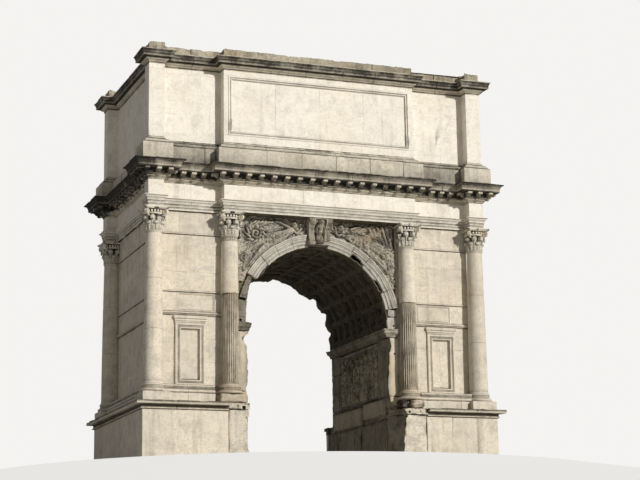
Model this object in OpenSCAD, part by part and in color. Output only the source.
// Single-bay triumphal arch of the composite order, built of stone blocks.
// Millimetres. The main face looks along -Y, the passage runs along Y, Z is up.

/* [Overall] */
// Width of the podium across the main face
arch_w = 13500; // [13000:50:15000]
// Depth of the podium along the passage
arch_d = 7200; // [6600:50:8400]

/* [Passage] */
// Clear width between the jambs
passage_w = 5400; // [5000:50:5600]
// Height of the wall between the arch ring and the architrave
crown_h = 545; // [395:10:645]
// Width of the plain jamb between the passage and the inner column
jamb_w = 410; // [380:5:430]
// Width of the moulded arch ring
archivolt_w = 465; // [430:5:480]
// Projection of the moulded arch ring
archivolt_out = 130; // [100:5:140]
// Height of the impost cornice
impost_h = 300; // [260:5:320]
// Projection of the impost cornice
impost_out = 180; // [120:5:190]
// Height of the straight part between impost and arch centre
stilt_h = 210; // [150:10:240]

/* [Courses] */
// Height of the podium
podium_h = 2360; // [2200:10:2500]
// Height of the square column plinths
plinth_h = 330; // [280:5:360]
// Height of the round base mouldings
base_h = 310; // [280:5:340]
// Height of a column shaft
shaft_h = 5420; // [5200:10:5600]
// Height of a capital
capital_h = 840; // [780:5:900]
// Projection of the podium cap
cap_out = 258; // [220:2:280]
// Projection of the pier's base course between the columns
base_out = 480; // [420:5:500]
// Height of the architrave
architrave_h = 420; // [380:5:460]
// Height of the frieze
frieze_h = 570; // [500:5:640]
// Height of the main cornice
cornice_h = 660; // [620:5:700]
// Height of the attic plinth with its base moulding
attic_plinth_h = 920; // [850:5:990]
// Height of the attic wall
attic_h = 2720; // [2600:10:2900]
// Height of the attic cornice
attic_cornice_h = 480; // [440:5:520]
// Height of the blocking course on top
blocking_h = 370; // [300:5:420]

/* [Columns] */
// Diameter of a shaft at its foot
col_low_d = 690; // [650:5:710]
// Diameter of a shaft at its neck
col_top_d = 580; // [550:5:600]
// Side of a column plinth
plinth_w = 980; // [940:5:1020]
// Distance of the column axes from the wall behind them
col_stand = 230; // [200:5:260]
// Number of flutes round a shaft
flutes = 24; // [20:2:24]
// Radius of a flute
flute_r = 32; // [26:1:34]
// How much thinner the worn fluted part of an inner shaft is
worn_r = 16; // [0:1:24]
// Height of the smooth drum on the inner columns
smooth_h = 2070; // [1800:10:2300]
// Half width of the abacus
abacus_a = 480; // [450:5:500]

/* [Entablature] */
// Depth of the recess between the column projections
recess = 420; // [380:5:440]
// Projection of the main cornice
cornice_out = 640; // [600:5:660]
// Spacing of the modillions
modillion_pitch = 480; // [440:5:520]
// Width of a modillion
modillion_w = 170; // [150:5:190]

/* [Windows and panels] */
// Width of the sunk panel over a blind window
sunk_w = 1920; // [1800:10:1960]
// Projection of the string courses
string_out = 40; // [30:2:60]
// Width of a blind window frame
window_w = 1130; // [1050:10:1200]
// Width of a blind window's sunk field
window_in_w = 590; // [540:10:640]
// Height of a blind window's sunk field
window_in_h = 1710; // [1600:10:1800]
// Width of the attic panel frame
panel_w = 7160; // [6800:10:7200]
// Height of the attic panel frame
panel_h = 2260; // [2100:10:2300]
// Length of a passage relief
relief_w = 3850; // [3600:10:4000]
// Height of a passage relief
relief_h = 2040; // [1900:10:2060]

/* [Vault] */
// Number of coffers along the passage
coffers_long = 8; // [6:1:9]
// Number of coffers round the vault
coffers_round = 11; // [9:2:13]
// Depth of a coffer
coffer_deep = 110; // [80:5:140]

/* [Hidden] */
$fn = 48;
eps = 1;
// joint between blocks that only meet side by side
fit = 0.3;

// heights, from the ground up
z_plinth = podium_h;
z_base = z_plinth + plinth_h;
z_shaft = z_base + base_h;
z_capital = z_shaft + shaft_h;
z_architrave = z_capital + capital_h;
z_frieze = z_architrave + architrave_h;
z_cornice = z_frieze + frieze_h;
z_attic_plinth = z_cornice + cornice_h;
z_attic = z_attic_plinth + attic_plinth_h;
z_attic_cornice = z_attic + attic_h;
z_blocking = z_attic_cornice + attic_cornice_h;
z_top = z_blocking + blocking_h;

// places in plan, all from the centre of the arch
jamb_x = passage_w / 2;
jamb_out_x = jamb_x + jamb_w;
ring_r = jamb_x + archivolt_w;
// the arch hangs from the architrave: its centre and its imposts follow the columns' height
spring_z = z_architrave - crown_h - ring_r;
z_impost_top = spring_z - stilt_h;
z_impost = z_impost_top - impost_h;
inner_x = jamb_out_x + col_low_d / 2;
outer_x = (arch_w - plinth_w) / 2;
col_y = (arch_d - plinth_w) / 2;
wall_y = col_y - col_stand;
wall_x = outer_x - col_stand;
bay_x = (inner_x + outer_x) / 2;
top_r = col_top_d / 2;
low_r = col_low_d / 2;

// outline of the entablature and attic, anticlockwise, broken forward over the columns
xo = outer_x + top_r;
xi = outer_x - top_r;
xc = inner_x + top_r;
xr = xo - recess;
yo = col_y + top_r;
yi = col_y - top_r;
yr = yo - recess;
half_plan = [[-xo, -yo], [-xi, -yo], [-xi, -yr], [-xc, -yr], [-xc, -yo], [xc, -yo], [xc, -yr],
    [xi, -yr], [xi, -yo], [xo, -yo], [xo, -yi], [xr, -yi], [xr, yi], [xo, yi]];
plan = concat(half_plan, [for (p = half_plan) -p]);

// outward unit normal of the edge from a to b of an anticlockwise outline
function normal(a, b) = [b[1] - a[1], a[0] - b[0]] / norm(b - a);

// the outline with edge i moved outwards by d times w[i]
function grown(pts, d, w) = let (n = len(pts)) [for (i = [0 : n - 1])
    let (h = (i + n - 1) % n, a = pts[h], b = pts[i], c = pts[(i + 1) % n])
    b + d * w[h] * normal(a, b) + d * w[i] * normal(b, c)];

// a solid course: the outline at every [projection, height] of a moulding, from bottom to top
module course(pts, moulding, w) {
    n = len(pts);
    m = len(moulding);
    rings = [for (s = moulding) each [for (p = grown(pts, s[0], w)) [p[0], p[1], s[1]]]];
    sides = [for (k = [0 : m - 2]) for (i = [0 : n - 1]) let (j = (i + 1) % n)
        [k * n + i, (k + 1) * n + i, (k + 1) * n + j, k * n + j]];
    polyhedron(rings, concat([[for (i = [0 : n - 1]) i]],
        [[for (i = [n - 1 : -1 : 0]) (m - 1) * n + i]], sides));
}

// a solid course over the whole plan, made up of the moulded rectangles that the plan is the sum of
module plan_course(z, h, moulding) {
    levels = [for (s = moulding) [s[0], z + s[1] * h]];
    rectangle_course([-xr, -yr], [xr, yr], levels);
    rectangle_course([-xc, -yo], [xc, yo], levels);
    for (x = [-1, 1]) for (y = [-1, 1])
        rectangle_course([min(x * xi, x * xo), min(y * yi, y * yo)],
            [max(x * xi, x * xo), max(y * yi, y * yo)], levels);
}

module rectangle_course(a, b, levels) {
    course([a, [b[0], a[1]], b, [a[0], b[1]]], levels, [1, 1, 1, 1]);
}

// an arc of a moulding from point a to point b, hollow when bulge is below 0
function arc(a, b, bulge, steps = 4) = [for (k = [0 : steps])
    let (t = k / steps, s = sin(180 * t) * bulge, e = b - a)
    a + e * t + [e[1], -e[0]] * s];

// a block between two corners
module block(a, b) {
    translate(a) cube(b - a);
}

// children on the right, and mirrored on the left
module on_left() {
    mirror([1, 0, 0]) children();
}

module at_back() {
    rotate([0, 0, 180]) children();
}

// podium: high pedestal of plain blocks with a foot and a cap, both broken off near the passage
// cap_end: how far from the jamb the front cap is lost; bites: [from z, to z, depth] broken off the
// front inner corner
module podium(cap_end, bites) {
    pts = [[jamb_x, -arch_d / 2], [arch_w / 2, -arch_d / 2], [arch_w / 2, arch_d / 2],
        [jamb_x, arch_d / 2]];
    cap = [[0, 300], [50, 295], [78, 280], [84, 255], [72, 238], [40, 232], [40, 150],
        [0.92 * cap_out, 138], [cap_out, 126], [cap_out, 14], [cap_out - 12, 0]];
    foot = [[60, 0], [60, 300], [45, 315], [20, 335], [0, 380]];
    color("linen") difference() {
        course(pts, concat(foot, [for (s = cap) [s[0], podium_h - s[1]]]), [1, 1, 1, 0.3]);
        block([jamb_x - cap_out, -arch_d / 2 - 2 * cap_out, podium_h - 310],
            [jamb_x + cap_end, -arch_d / 2, podium_h + eps]);
        for (q = bites) corner_bite([jamb_x, -arch_d / 2], q);
    }
}

// a ragged prism off an upright corner whose faces look along -X and -Y
module corner_bite(corner, q) {
    d = q[2];
    translate([corner[0], corner[1], q[0]]) linear_extrude(height = q[1] - q[0])
        polygon([[-2 * d, -2 * d], [d, -2 * d], [d, 0], [d * 0.72, d * 0.3], [d * 0.8, d * 0.62],
            [d * 0.3, d * 0.8], [0, d * 1.25], [-2 * d, d * 1.25]]);
}

// what is broken off the podiums' front inner corners
podium_bites_right = [[380, 800, 210], [800, 1480, 260], [1480, podium_h - 200, 340],
    [podium_h - 200, podium_h + 1, 230]];
podium_bites_left = [[0, 420, 60], [420, 900, 45], [900, 1500, 70], [1500, 2000, 50],
    [2000, podium_h + 1, 110]];

// what is broken off the piers' front inner corners, by height over the podium
jamb_bites_right = [[380, 760, 60], [760, 1300, 90], [1300, 1750, 50], [1750, 2300, 75],
    [2300, z_impost - podium_h, 35]];
jamb_bites_left = [[0, 420, 30], [420, 1100, 75], [1100, 1700, 40], [1900, 2250, 90],
    [2250, z_impost - podium_h, 210]];

// pier: wall mass between podium and architrave, with its courses, blind windows and sunk panels
module pier_core() {
    block([jamb_x, -wall_y, z_plinth], [wall_x, wall_y, z_impost]);
    block([jamb_out_x, -wall_y, z_plinth], [wall_x, wall_y, z_architrave]);
}

module pier(bites) {
    pts = [[jamb_x, -wall_y], [wall_x, -wall_y], [wall_x, wall_y], [jamb_x, wall_y]];
    b = base_out;
    foot = [[b, 0], [b, plinth_h - 15], [b - 15, plinth_h], [b - 12, plinth_h + 15],
        [b, plinth_h + 60], [b - 12, plinth_h + 105], [b - 70, plinth_h + 120],
        [b - 88, plinth_h + 160], [b - 62, plinth_h + 195], [b - 52, plinth_h + 230],
        [b - 66, plinth_h + 262], [b - 100, plinth_h + 285], [0, plinth_h + base_h + 40]];
    color("wheat") difference() {
        union() {
            pier_core();
            difference() {
                course(pts, [for (s = foot) [s[0], z_plinth + s[1]]], [1, 1, 1, 0]);
                block([jamb_x - eps, -arch_d, z_plinth - eps], [inner_x, arch_d, z_shaft + 100]);
                for (x = [inner_x, outer_x]) for (y = [-col_y, col_y])
                    translate([x, y, z_plinth + (plinth_h + base_h + 100) / 2])
                        cube([plinth_w, plinth_w, plinth_h + base_h + 100 + 2 * eps], center = true);
            }
            block([jamb_x, -wall_y, z_plinth], [inner_x, wall_y, z_shaft]);
            for (s = [0, 1]) mirror([0, s, 0]) bay_details();
            side_strings();
        }
        for (s = [0, 1]) mirror([0, s, 0]) bay_cuts();
        for (q = bites) corner_bite([jamb_x, -wall_y], [podium_h + q[0], podium_h + q[1], q[2]]);
        slits();
    }
}

// heights of what divides the side bays
shelf_z = z_impost_top + 135;
shelf_h = 180;
string_h = 85;
upper_string_z = shelf_z + 835;
sunk_z = shelf_z + shelf_h + 35;
window_z = z_shaft;
lintel_z = shelf_z - 185;
frame_out = 70;
field_z = window_z + 250;

// [height, thickness, projection] of every course that crosses the walls
strings = [[z_capital - 20, string_h, string_out], [upper_string_z, string_h, string_out],
    [shelf_z, shelf_h / 2, string_out + 30], [shelf_z + shelf_h / 2, shelf_h / 2, string_out]];

// how far a shaft reaches sideways where a moulding of this height and projection meets it
function reach(z, out) = sqrt(pow(shaft_r((z - z_shaft) / shaft_h) + 12, 2) - pow(col_stand - out, 2));

module bay_details() {
    for (q = strings)
        block([inner_x + reach(q[0], q[2]), -wall_y - q[2], q[0]],
            [outer_x - reach(q[0], q[2]), -wall_y + eps, q[0] + q[1]]);
    // window frame, and its lintel with a small cornice
    block([bay_x - window_w / 2, -wall_y - frame_out, window_z],
        [bay_x + window_w / 2, -wall_y + eps, lintel_z + eps]);
    for (q = [[0, 60, 25], [55, 70, 60], [120, 65, 95]])
        block([bay_x - window_w / 2 - q[2] / 2, -wall_y - frame_out - q[2], lintel_z + q[0]],
            [bay_x + window_w / 2 + q[2] / 2, -wall_y + eps, lintel_z + q[0] + q[1]]);
}

module bay_cuts() {
    face = -wall_y - frame_out;
    // inner fascia of the frame, then the sunk field
    block([bay_x - window_in_w / 2 - 110, face - eps, field_z - 110],
        [bay_x + window_in_w / 2 + 110, face + 28, field_z + window_in_h + 110]);
    block([bay_x - window_in_w / 2, face - eps, field_z],
        [bay_x + window_in_w / 2, face + 150, field_z + window_in_h]);
    block([bay_x - sunk_w / 2, -wall_y - eps, sunk_z],
        [bay_x + sunk_w / 2, -wall_y + 45, upper_string_z - 5]);
}

module side_strings() {
    for (q = strings) {
        y = col_y - reach(q[0], q[2]);
        block([wall_x - eps, -y, q[0]], [wall_x + q[2], y, q[0] + q[1]]);
    }
}

// narrow upright slits in the side wall
module slits() {
    for (q = [[-220, z_capital + 440, 390], [1570, upper_string_z + 310, 240]])
        block([wall_x - 250, q[0] - 45, q[1]], [wall_x + eps, q[0] + 45, q[1] + q[2]]);
}

// column: plinth, base mouldings and shaft, cut where it is engaged in the wall
module torus(r, h, z) {
    translate([0, 0, z + h / 2]) rotate_extrude($fn = 48) translate([r, 0]) circle(d = h, $fn = 24);
    translate([0, 0, z]) cylinder(r = r, h = h);
}

// radius of the shaft at a height above its foot
function shaft_r(t) = top_r + (low_r - top_r) * (1 - pow(t, 1.6));

module flute_set(z0, z1, deep) {
    t0 = z0 / shaft_h;
    t1 = z1 / shaft_h;
    lean = atan((shaft_r(t0) - shaft_r(t1)) / (z1 - z0));
    for (k = [0 : flutes - 1]) rotate([0, 0, (k + 0.5) * 360 / flutes])
        translate([shaft_r(t0) - worn_r + flute_r - deep, 0, z0]) rotate([0, -lean, 0]) flute(z1 - z0);
}

// one flute: a round groove with round ends
module flute(h) {
    rotate_extrude($fn = 24) intersection() {
        union() {
            translate([0, flute_r]) circle(r = flute_r, $fn = 24);
            translate([0, h - flute_r]) circle(r = flute_r, $fn = 24);
            translate([0, flute_r]) square([flute_r, h - 2 * flute_r]);
        }
        square([flute_r, h]);
    }
}

module column(fluted) {
    steps = 8;
    translate([-plinth_w / 2, -plinth_w / 2, z_plinth]) cube([plinth_w, plinth_w, plinth_h]);
    translate([0, 0, z_base]) {
        torus(low_r + 75, 120, 0);
        translate([0, 0, 110]) cylinder(r = low_r + 70, h = 25);
        translate([0, 0, 130]) cylinder(r1 = low_r + 62, r2 = low_r + 35, h = 70);
        translate([0, 0, 195]) cylinder(r = low_r + 45, h = 20);
        torus(low_r + 25, 75, 210);
        translate([0, 0, 280]) cylinder(r = low_r + 25, h = base_h - 280 + eps);
    }
    translate([0, 0, z_shaft]) difference() {
        rotate_extrude($fn = 48) polygon(concat([[0, 0], [low_r + 25, 0], [low_r + 25, 30]],
            fluted ? worn_side() : [[low_r, 80]],
            [for (k = [fluted ? 6 : 1 : steps]) [shaft_r(k / steps), (shaft_h - 90) * k / steps]],
            [[top_r + 12, shaft_h - 60], [top_r + 12, shaft_h - 50], [top_r + 32, shaft_h - 45],
            [top_r + 40, shaft_h - 25], [top_r + 32, shaft_h], [0, shaft_h]]));
        if (fluted) flute_set(140, drum_z - 60, 22);
    }
}

// height of the joint between the fluted part and the smooth drum, from the foot of the shaft
drum_z = shaft_h - smooth_h;

// side of the fluted part, which weather has worn thinner than the smooth drum above it
function worn_side() = [[low_r - worn_r, 80],
    for (k = [1 : 4]) [shaft_r(k / 4 * drum_z / shaft_h) - worn_r, drum_z * k / 4],
    [shaft_r(drum_z / shaft_h), drum_z]];

module placed_column(x, y, fluted, bites = []) {
    color("antiquewhite") difference() {
        translate([x, y, 0]) column(fluted);
        block([jamb_x - 200, -wall_y, z_plinth - eps], [wall_x, wall_y, z_architrave + eps]);
        for (q = bites) corner_bite([x - plinth_w / 2, y - plinth_w / 2],
            [podium_h + q[0], podium_h + q[1], q[2]]);
    }
}

// what is broken off the plinth and base of the right inner column of the main front
base_bites = [[-1, 150, 190], [150, 300, 260], [300, 420, 150]];

// composite capital: bell, two rows of acanthus leaves, echinus with eggs, corner volutes, and a
// two-tiered abacus
leaf_cut = 0.9;

// one leaf: its curling side profile, trimmed to its lobed outline as seen from the front
module leaf(h, foot, tip, wide) {
    c = tip - foot;
    side = [[foot - 50, 0], [foot + 6, 0], [foot + 32, h * 0.5], [tip, h * 0.87], [tip + 20, h * 0.79],
        [tip + 46, h * 0.86], [tip + 38, h], [foot + c * 0.5, h * 0.98], [foot - 50, h * leaf_cut]];
    half = [[wide * 0.34, 0], [wide * 0.5, h * 0.26], [wide * 0.38, h * 0.4], [wide * 0.5, h * 0.62],
        [wide * 0.2, h * 1.04]];
    n = len(half);
    intersection() {
        rotate([90, 0, 0]) linear_extrude(height = wide + 2 * eps, center = true) polygon(side);
        rotate([90, 0, 90]) linear_extrude(height = tip + 100)
            polygon(concat(half, [for (i = [n - 1 : -1 : 0]) [-half[i][0], half[i][1]]]));
    }
}

// radii of a volute's half turns, and where each half turn has its centre so that they join
function turn_r(r, i) = r * pow(0.8, i);
function turn_c(r, i) = i == 0 ? 0 :
    turn_c(r, i - 1) + (i % 2 == 1 ? -1 : 1) * (turn_r(r, i - 1) - turn_r(r, i));

// volute: a flat band wound inwards in half turns over a dished web, with an eye
module volute(r, thick) {
    for (i = [0 : 3]) translate([turn_c(r, i), 0, -thick / 2]) rotate([0, 0, i % 2 * 180])
        rotate_extrude(angle = 180, $fn = 48) translate([turn_r(r, i) * 0.76, 0])
            square([turn_r(r, i) * 0.24, thick]);
    translate([turn_c(r, 1) * 0.5, 0, 0]) cylinder(r = r * 0.8, h = thick * 0.5, center = true);
    translate([turn_c(r, 3), 0, 0]) cylinder(r = r * 0.24, h = thick * 1.2, center = true);
}

// whether a direction points into the wall: wall = [its direction, half angle]
function walled(a, wall) = abs((a - wall[0] + 540) % 360 - 180) < wall[1];

// leaf_wall and volute_wall: where the wall swallows leaves and volutes
module capital(leaf_wall, volute_wall) {
    k = capital_h / 840;
    rotate_extrude() polygon([[0, 0], [top_r, 0], [top_r, 400 * k], [top_r + 22, 520 * k],
        [top_r + 60, 570 * k], [top_r + 60, 590 * k], [top_r + 30, 595 * k], [top_r + 30, 745 * k],
        [0, 745 * k]]);
    torus(top_r + 42, 95 * k, 592 * k);
    for (a = [15 : 30 : 345]) if (!walled(a, leaf_wall)) rotate([0, 0, a])
        translate([top_r + 72, 0, 645 * k]) sphere(r = 44 * k, $fn = 24);
    for (a = [0 : 45 : 315]) if (!walled(a, leaf_wall)) rotate([0, 0, a])
        leaf(265 * k, top_r, top_r + 70, 212);
    for (a = [22.5 : 45 : 337.5]) if (!walled(a, leaf_wall)) rotate([0, 0, a])
        leaf(475 * k, top_r, top_r + 85, 196);
    for (a = [45 : 90 : 315]) if (!walled(a, volute_wall)) rotate([0, 0, a]) {
        translate([abacus_a - 5, 0, 622 * k]) rotate([90, 0, 0]) rotate([0, 0, 20]) volute(125 * k, 105);
        translate([top_r - 40, -38, 698 * k]) cube([abacus_a - top_r + 40, 76, 47 * k + eps]);
    }
    translate([0, 0, 745 * k]) abacus(capital_h - 745 * k);
}

// abacus: a slab with hollow sides and cut corners in two tiers, and a flower on each side
module abacus(h) {
    sag = 85;
    corner = 55;
    flower_d = h - 14;
    side_r = (pow(abacus_a, 2) + pow(sag, 2)) / (2 * sag);
    for (q = [[0, h * 0.55, 28], [h * 0.55 - eps, h * 0.45 + eps, 0]])
        translate([0, 0, q[0]]) difference() {
            block([q[2] - abacus_a, q[2] - abacus_a, 0], [abacus_a - q[2], abacus_a - q[2], q[1]]);
            for (a = [0 : 90 : 270]) rotate([0, 0, a]) {
                translate([abacus_a + side_r - sag - q[2], 0, -eps])
                    cylinder(r = side_r, h = q[1] + 2 * eps, $fn = 300);
                rotate([0, 0, 45]) translate([abacus_a * sqrt(2) - corner - q[2], -100, -eps])
                    cube([200, 200, q[1] + 2 * eps]);
            }
        }
    for (a = [0 : 90 : 270]) rotate([0, 0, a]) translate([abacus_a - sag - 30, 0, h / 2])
        rotate([0, 90, 0]) {
            cylinder(d = flower_d, h = 50);
            cylinder(d = flower_d * 0.55, h = 75);
        }
}

// a capital at x on the front, or on the back face when back is true
module placed_capital(x, back = false) {
    inner = x < bay_x;
    color("ivory") mirror([0, back ? 1 : 0, 0]) difference() {
        translate([x, -col_y, z_capital])
            capital(inner ? [90, 30] : [135, 10], inner ? [90, 50] : [135, 10]);
        block([jamb_x - 200, -wall_y, z_plinth], [wall_x, wall_y, z_architrave + eps]);
    }
}

// impost: moulded course that the arch springs from, run through the passage
module impost() {
    pts = [[jamb_x, -wall_y], [jamb_out_x, -wall_y], [jamb_out_x, wall_y], [jamb_x, wall_y]];
    k = impost_out;
    moulding = [[k * 0.25, 0], [k * 0.25, 0.22], [k * 0.4, 0.3], [k * 0.5, 0.42], [k * 0.72, 0.55],
        [k * 0.85, 0.6], [k * 0.85, 0.82], [k, 0.9], [k, 1]];
    color("tan") course(pts, [for (s = moulding) [s[0], z_impost + s[1] * impost_h]], [1, 0, 1, 1]);
}

// vault: rows of wedge stones over the passage, each with its row of coffers
coffer_rib = 150;
coffer_margin = 300;
coffer_start = 2;
coffer_pitch = (180 - 2 * coffer_start) / coffers_round;

module vault() {
    color("rosybrown") for (j = [0 : coffers_round - 1]) difference() {
        intersection() {
            block([-jamb_out_x, -wall_y, z_impost_top], [jamb_out_x, wall_y, z_architrave]);
            vault_wedge(j);
        }
        translate([0, 0, spring_z]) rotate([90, 0, 0])
            cylinder(r = jamb_x, h = 2 * wall_y + 2 * eps, center = true, $fn = 96);
        block([-jamb_x, -wall_y - eps, z_impost_top - eps], [jamb_x, wall_y + eps, spring_z]);
        coffers(j);
        if (j == coffers_round - 1) sector(150, 179, jamb_x + 160, wall_y - 700, wall_y + eps);
    }
}

// an upright slice of a disc round the arch centre, between two angles from the right-hand springing
module sector(a, b, r, y0, y1) {
    n = max(1, ceil((b - a) / 6));
    translate([0, -y0, spring_z]) rotate([90, 0, 0]) linear_extrude(height = y1 - y0)
        polygon([[0, 0], for (k = [0 : n]) r * [cos(a + (b - a) * k / n), sin(a + (b - a) * k / n)]]);
}

// the sector that row j of the wedge stones fills, the lowest rows reaching down to the imposts
module vault_wedge(j) {
    far = 2 * arch_w;
    a = coffer_start + j * coffer_pitch;
    b = a + coffer_pitch;
    start = j == 0 ? [[0, -far], [far, -far]] : [far * [cos(a), sin(a)]];
    stop = j == coffers_round - 1 ? [[-far, far * sin(a)], [-far, -far],
        [0, -far]] : [far * [cos(b), sin(b)]];
    shift = fit / 2 / sin(coffer_pitch / 2) * [cos((a + b) / 2), sin((a + b) / 2)];
    translate([shift[0], 0, spring_z + shift[1]]) rotate([90, 0, 0])
        linear_extrude(height = 3 * arch_d, center = true)
        polygon(concat([[0, 0]], start, stop));
}

module coffers(j) {
    pitch_y = (2 * (wall_y - coffer_margin) + coffer_rib) / coffers_long;
    wide_a = coffer_pitch - coffer_rib / jamb_x * 180 / PI;
    for (i = [0 : coffers_long - 1]) translate([0, -wall_y + coffer_margin + i * pitch_y, spring_z])
        rotate([90, 0, 0]) mirror([0, 0, 1])
            rotate([0, 0, coffer_start + (j + 0.5) * coffer_pitch - wide_a / 2])
            rotate_extrude(angle = wide_a, $fn = 96) translate([jamb_x - 20, 0])
                square([coffer_deep + 20, pitch_y - coffer_rib]);
}

// keystone sides, as a wedge through the face of the arch
module key_wedge(gap = 0) {
    h = z_architrave - spring_z - jamb_x;
    translate([0, 0, spring_z + jamb_x]) rotate([90, 0, 0])
        linear_extrude(height = 4 * arch_d, center = true)
            polygon([[-key_w * 0.4 - gap, -gap], [key_w * 0.4 + gap, -gap],
                [key_w * 0.5 + gap, h], [-key_w * 0.5 - gap, h]]);
}

// archivolt: moulded ring on the face of the arch, cut where the inner columns stand before it
// section: [share of the width, share of the projection]
ring_section = [[0, 0], [0, 0.42], [0.27, 0.42], [0.27, 0.62], [0.55, 0.62], [0.55, 0.72], [0.62, 0.78],
    [0.68, 0.76], [0.78, 0.96], [0.88, 1], [1, 1], [1, 0]];

// what is broken off the ring of the main front: [from angle, to angle, how deep]
ring_losses = [[24, 30, 115], [30, 36, 105], [51, 57, 90], [57, 62.7, 150], [134.8, 142, 45],
    [142, 150, 60]];

module archivolt(first = 0, last = 180, losses = []) {
    profile = [for (p = ring_section) [jamb_x + p[0] * archivolt_w, p[1] * archivolt_out]];
    color("bisque") difference() {
        translate([0, -wall_y, 0]) {
            translate([0, 0, spring_z]) rotate([90, 0, 0]) rotate([0, 0, first])
                rotate_extrude(angle = last - first, $fn = 240) polygon(profile);
            if (first == 0) for (s = [0, 1]) mirror([s, 0, 0]) translate([0, 0, z_impost_top])
                linear_extrude(height = stilt_h) polygon([for (p = profile) [p[0], -p[1]]]);
        }
        key_wedge(fit);
        for (s = [-1, 1]) translate([s * inner_x, -col_y, z_shaft])
            cylinder(r = low_r + 4, h = shaft_h, $fn = 96);
        for (q = losses) sector(q[0], q[1], jamb_x + q[2], wall_y - eps, 2 * wall_y);
        for (q = losses) sector(q[0] - 0.3, q[1] + 0.3, jamb_x + q[2] + 30,
            wall_y + 0.6 * archivolt_out, 2 * wall_y);
    }
}

// keystone: scrolled console between the crown of the arch and the architrave, with a draped figure
// on a ledge
key_w = 880;
key_band = 0.2;
module keystone() {
    z0 = spring_z + jamb_x;
    h = z_architrave - z0;
    out = yo - wall_y - 20;
    body = [[0, 0], [190, 0], [280, h * 0.04], [300, h * 0.1], [270, h * 0.17], [225, h * 0.24],
        [215, h * 0.42], [240, h * 0.58], [320, h * 0.72], [out - 60, h * 0.78], [out - 10, h * 0.84],
        [out, h * 0.92], [out, h], [0, h]];
    color("navajowhite") difference() {
        intersection() {
            translate([0, -wall_y, z0]) rotate([90, 0, -90])
                linear_extrude(height = key_w + 2 * eps, center = true) polygon(body);
            key_wedge();
        }
        // recess round the figure, between the side bands
        difference() {
            translate([0, -wall_y, z0]) rotate([90, 0, -90])
                linear_extrude(height = key_w * (1 - 2 * key_band), center = true)
                polygon([[110, h * 0.19], [out + 50, h * 0.19], [out + 50, h * 0.97],
                    [out - 150, h * 0.97], [150, h * 0.8]]);
            translate([0, -wall_y - 150, z0 + h * 0.19]) key_figure(h * 0.78);
        }
        // reeds down the side bands
        for (x = [-0.455, -0.405, -0.355, 0.355, 0.405, 0.455]) translate([x * key_w * 0.96, -wall_y, z0])
            rotate([90, 0, -90]) linear_extrude(height = 14, center = true)
                polygon([[200, h * 0.24], [400, h * 0.24], [out + 50, h * 0.76], [300, h * 0.72],
                    [205, h * 0.5]]);
    }
}

// a standing figure in a long robe, half sunk in the stone behind it
module key_figure(h) {
    rotate_extrude($fn = 32) polygon([[0, 0], [120, 0], [112, h * 0.1], [88, h * 0.35], [78, h * 0.5],
        [98, h * 0.62], [104, h * 0.74], [60, h * 0.8], [34, h * 0.83], [0, h * 0.83]]);
    translate([0, 0, h * 0.9]) sphere(r = h * 0.088, $fn = 32);
    for (s = [-1, 1]) translate([s * 92, -20, h * 0.42]) rotate([0, s * 8, 0])
        cylinder(r = 30, h = h * 0.34, $fn = 24);
    for (x = [-60, -20, 25, 65]) translate([x, -92 + abs(x) * 0.35, 0])
        cylinder(r = 20, h = h * 0.44, $fn = 24);
}

// spandrel: carved slab between the arch ring, the inner column and the architrave
spandrel_t = 60;
carving_t = 60;
module spandrel() {
    x1 = jamb_out_x;
    x2 = inner_x - abacus_a - 10;
    color("burlywood") difference() {
        union() {
            spandrel_slab(0, spandrel_t) polygon([[0, spring_z + jamb_x * 0.5],
                [x1, spring_z + jamb_x * 0.5], [x1, z_capital - 40], [x2, z_capital - 40],
                [x2, z_architrave], [0, z_architrave]]);
            intersection() {
                translate([ring_r * 0.38, 0, z_architrave - 330]) winged_figure();
                spandrel_slab(0, spandrel_t + 2 * carving_t) polygon([[0, spring_z], [x2 - 15, spring_z],
                    [x2 - 15, z_architrave - 15], [0, z_architrave - 15]]);
            }
        }
        key_wedge(fit);
    }
}

// children as an upright slab over the wall, clear of the ring
module spandrel_slab(from, to) {
    translate([0, -wall_y - from, 0]) rotate([90, 0, 0]) linear_extrude(height = to - from) difference() {
        children();
        translate([0, spring_z]) circle(r = ring_r, $fn = 96);
    }
}

// a stroke of carving on the spandrel: a bar with round ends, length l at an angle, wide at its root
module stroke(l, w, angle, from, to) {
    root = [for (a = [90 : 30 : 270]) w * 0.5 * [cos(a), sin(a)]];
    tip = [for (a = [-90 : 30 : 90]) [l, 0] + w * 0.32 * [cos(a), sin(a)]];
    translate([0, -wall_y - from, 0]) rotate([90, 0, 0]) linear_extrude(height = to - from)
        rotate(angle) polygon(concat(root, tip));
}

// a winged figure flying to the keystone, its shoulder at the origin, with a wing and a blown robe
module winged_figure() {
    low = spandrel_t - eps;
    for (k = [0 : 5]) stroke(1500 - 40 * k, 130, -8 - 8 * k, low, low + carving_t * 0.4);
    for (k = [0 : 3]) stroke(940 - 30 * k, 112, -3 - 9.5 * k, low, low + carving_t * 0.7);
    // body, thigh, shin and robe
    translate([-60, 0, -60]) stroke(560, 250, -30, low, low + carving_t * 1.4);
    translate([420, 0, -340]) stroke(520, 200, -46, low, low + carving_t * 1.3);
    translate([780, 0, -720]) stroke(420, 130, -62, low, low + carving_t * 1.1);
    for (k = [0 : 2]) translate([560 + 120 * k, 0, -360 - 50 * k])
        stroke(560, 90, -48 - 10 * k, low, low + carving_t);
    // head and arms
    translate([-190, 0, 90]) stroke(10, 170, 0, low, low + carving_t * 1.6);
    translate([-120, 0, -40]) stroke(260, 90, 215, low, low + carving_t * 1.3);
    translate([-330, 0, -190]) stroke(200, 70, 140, low, low + carving_t * 1.1);
}

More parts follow.
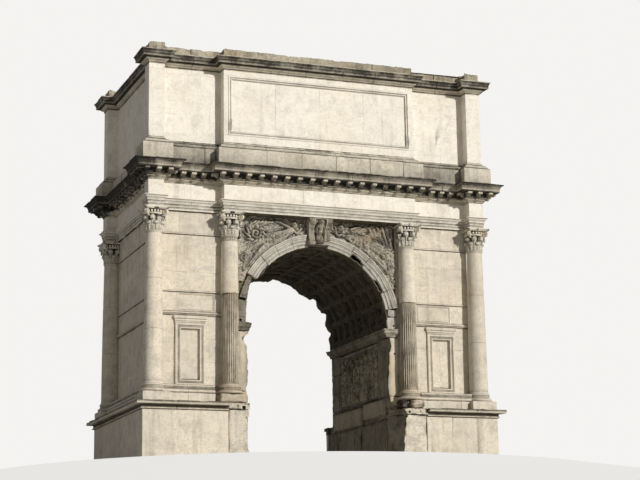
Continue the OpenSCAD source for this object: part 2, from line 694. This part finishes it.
// relief: carved panel let into the passage wall, robed people in two ranks inside a raised border
relief_t = 140;
relief_rim = 90;
relief_deep = 60;
walkers = 7;
module relief() {
    z0 = z_impost - relief_h - 90;
    pitch = (relief_w - 2 * relief_rim) / (walkers + 0.4);
    h = relief_h - 2 * relief_rim;
    start = -relief_w / 2 + relief_rim + 0.7 * pitch;
    color("peru") {
        difference() {
            block([jamb_x, -relief_w / 2, z0], [jamb_x + relief_t, relief_w / 2, z0 + relief_h]);
            block([jamb_x - eps, -relief_w / 2 + relief_rim, z0 + relief_rim],
                [jamb_x + relief_deep, relief_w / 2 - relief_rim, z0 + relief_h - relief_rim]);
        }
        for (k = [0 : walkers - 2]) relief_layer(25) translate([start + (k + 0.5) * pitch,
            z0 + relief_rim - eps])
            robed(h * (0.9 - 0.04 * (k % 3)), pitch * 0.4);
        for (k = [0 : walkers - 1]) {
            relief_layer(45) translate([start + k * pitch, z0 + relief_rim - eps])
                robed(h * (0.78 + 0.03 * (k * 2 % 3)), pitch * 0.44);
            relief_layer(56) translate([start + (k + 0.1) * pitch, z0 + relief_rim - eps])
                mantle(h * (0.78 + 0.03 * (k * 2 % 3)), pitch * 0.44);
        }
    }
}

// children, drawn in the plane of the passage wall, raised by t from the sunk ground
module relief_layer(t) {
    translate([jamb_x + relief_deep - t, 0, 0]) rotate([90, 0, 90]) linear_extrude(height = t + eps)
        children();
}

// outline of a walking figure of height h, w to each side: a long robe, shoulders and a head
module robed(h, w) {
    polygon([[-w * 0.9, 0], [w, 0], [w * 0.75, h * 0.3], [w * 0.5, h * 0.5], [w * 0.8, h * 0.62],
        [w * 0.6, h * 0.8], [w * 0.2, h * 0.85], [-w * 0.2, h * 0.85], [-w * 0.65, h * 0.8],
        [-w * 0.7, h * 0.58], [-w * 0.45, h * 0.48], [-w * 0.7, h * 0.2]]);
    translate([w * 0.08, h * 0.91]) circle(r = h * 0.072, $fn = 24);
}

// outline of the cloak that hangs over a figure's arm
module mantle(h, w) {
    polygon([[-w * 0.5, h * 0.8], [w * 0.35, h * 0.8], [w * 0.55, h * 0.6], [w * 0.1, h * 0.5],
        [w * 0.35, h * 0.22], [-w * 0.1, h * 0.12], [-w * 0.35, h * 0.45]]);
}

module relief_pocket() {
    z0 = z_impost - relief_h - 90;
    block([jamb_x - eps, -relief_w / 2, z0], [jamb_x + relief_t, relief_w / 2, z0 + relief_h]);
}

// entablature
module architrave() {
    m = [[0, 0], [0, 0.24], [25, 0.24], [25, 0.52], [50, 0.52], [50, 0.76], [62, 0.79], [75, 0.86],
        [120, 0.93], [150, 0.95], [150, 1]];
    color("cornsilk") plan_course(z_architrave, architrave_h, m);
}

module frieze() {
    color("beige") translate([0, 0, z_frieze]) linear_extrude(height = frieze_h) polygon(plan);
}

bed_d = 230;
module cornice() {
    c = cornice_out;
    m = [[0, 0], [30, 0.02], [60, 0.04], [70, 0.12], [100, 0.2], [130, 0.24], [130, 0.27],
        [bed_d, 0.27], [bed_d, 0.52], [c - 150, 0.52], [c - 150, 0.6], [c - 140, 0.6], [c - 140, 0.74],
        [c - 110, 0.76], [c - 60, 0.82], [c - 20, 0.92], [c, 0.94], [c, 1]];
    color("lightgoldenrodyellow") plan_course(z_cornice, cornice_h, m);
}

module modillion() {
    out = cornice_out - 175 - bed_d;
    h = 0.25 * cornice_h;
    rotate([90, 0, 90]) linear_extrude(height = modillion_w, center = true) polygon([[0, 0], [-out, 0],
        [-out, -h * 0.3], [-out * 0.85, -h * 0.45], [-out * 0.6, -h * 0.42], [-out * 0.4, -h * 0.55],
        [-out * 0.3, -h * 0.8], [-out * 0.12, -h], [0, -h]]);
}

module modillions() {
    z = z_cornice + 0.52 * cornice_h;
    b = bed_d;
    c = cornice_out;
    color("khaki") for (r = [0, 180]) rotate([0, 0, r]) translate([0, 0, z]) {
        for (x = run(-xc - b, xc + b)) translate([x, -yo - b, 0]) modillion();
        for (m = [0, 1]) mirror([m, 0, 0]) {
            for (x = run(xi - b, xo + b)) translate([x, -yo - b, 0]) modillion();
            for (x = run(xc + c, xi - c)) translate([x, -yr - b, 0]) modillion();
            translate([xc + b, -yr - b - recess / 2, 0]) rotate([0, 0, 90]) modillion();
            translate([xi - b, -yr - b - recess / 2, 0]) rotate([0, 0, -90]) modillion();
        }
        translate([xo + b, 0, 0]) rotate([0, 0, 90])
            for (s = [-1, 1]) for (x = run(yi - b, yo + b)) translate([s * x, 0, 0]) modillion();
        translate([xr + b, 0, 0]) rotate([0, 0, 90])
            for (x = run(-yi + c, yi - c)) translate([x, 0, 0]) modillion();
        for (m = [0, 1]) mirror([0, m, 0]) translate([xr + b + recess / 2, yi - b, 0]) modillion();
    }
}

// places along a run from a to b, one near each end
function run(a, b) = let (l = b - a - modillion_w - 10, n = max(1, round(l / modillion_pitch)))
    [for (k = [0 : n]) a + (b - a - l) / 2 + l * k / n];

// attic
module attic_plinth() {
    m = [[265, 0], [265, 0.715], [240, 0.74], [200, 0.76], [160, 0.8], [130, 0.85], [110, 0.87],
        [60, 0.9], [20, 0.95], [0, 1]];
    color("palegoldenrod") plan_course(z_attic_plinth, attic_plinth_h, m);
}

module attic() {
    z0 = z_attic_cornice - panel_h - 190;
    color("floralwhite") difference() {
        translate([0, 0, z_attic]) linear_extrude(height = attic_h) polygon(plan);
        for (s = [0, 1]) rotate([0, 0, s * 180]) {
            block([-panel_w / 2, -yo - eps, z0], [panel_w / 2, -yo + 25, z0 + panel_h]);
            block([-panel_w / 2 + 100, -yo - eps, z0 + 100],
                [panel_w / 2 - 100, -yo + 60, z0 + panel_h - 100]);
        }
    }
}

module attic_cornice() {
    m = [[0, 0], [15, 0.02], [20, 0.1], [60, 0.16], [120, 0.26], [135, 0.34], [135, 0.42], [290, 0.42],
        [290, 0.66], [305, 0.7], [335, 0.82], [360, 0.92], [360, 1]];
    color("oldlace") plan_course(z_attic_cornice, attic_cornice_h, m);
}

module blocking_course() {
    color("antiquewhite") translate([0, 0, z_blocking]) linear_extrude(height = blocking_h) polygon(plan);
}

module pier_whole(bites) {
    difference() {
        pier(bites);
        relief_pocket();
    }
}

on_left() podium(960, podium_bites_left);  // podium_left
podium(1150, podium_bites_right);  // podium_right
on_left() pier_whole(jamb_bites_left);  // pier_left
pier_whole(jamb_bites_right);  // pier_right
on_left() placed_column(outer_x, -col_y, false);  // column_front_left_outer
on_left() placed_column(inner_x, -col_y, true);  // column_front_left_inner
placed_column(inner_x, -col_y, true, base_bites);  // column_front_right_inner
placed_column(outer_x, -col_y, false);  // column_front_right_outer
on_left() placed_column(outer_x, col_y, false);  // column_back_left_outer
on_left() placed_column(inner_x, col_y, true);  // column_back_left_inner
placed_column(inner_x, col_y, true);  // column_back_right_inner
placed_column(outer_x, col_y, false);  // column_back_right_outer
on_left() placed_capital(outer_x);  // capital_front_left_outer
on_left() placed_capital(inner_x);  // capital_front_left_inner
placed_capital(inner_x);  // capital_front_right_inner
placed_capital(outer_x);  // capital_front_right_outer
on_left() placed_capital(outer_x, true);  // capital_back_left_outer
on_left() placed_capital(inner_x, true);  // capital_back_left_inner
placed_capital(inner_x, true);  // capital_back_right_inner
placed_capital(outer_x, true);  // capital_back_right_outer
on_left() impost();  // impost_left
impost();  // impost_right
vault();
archivolt(10.6, 150, ring_losses);  // archivolt_front
at_back() archivolt();  // archivolt_back
keystone();  // keystone_front
at_back() keystone();  // keystone_back
on_left() spandrel();  // spandrel_front_left
spandrel();  // spandrel_front_right
at_back() spandrel();  // spandrel_back_left
at_back() on_left() spandrel();  // spandrel_back_right
on_left() relief();  // relief_left
relief();  // relief_right
architrave();
frieze();
cornice();
modillions();
attic_plinth();
attic();
attic_cornice();
blocking_course();
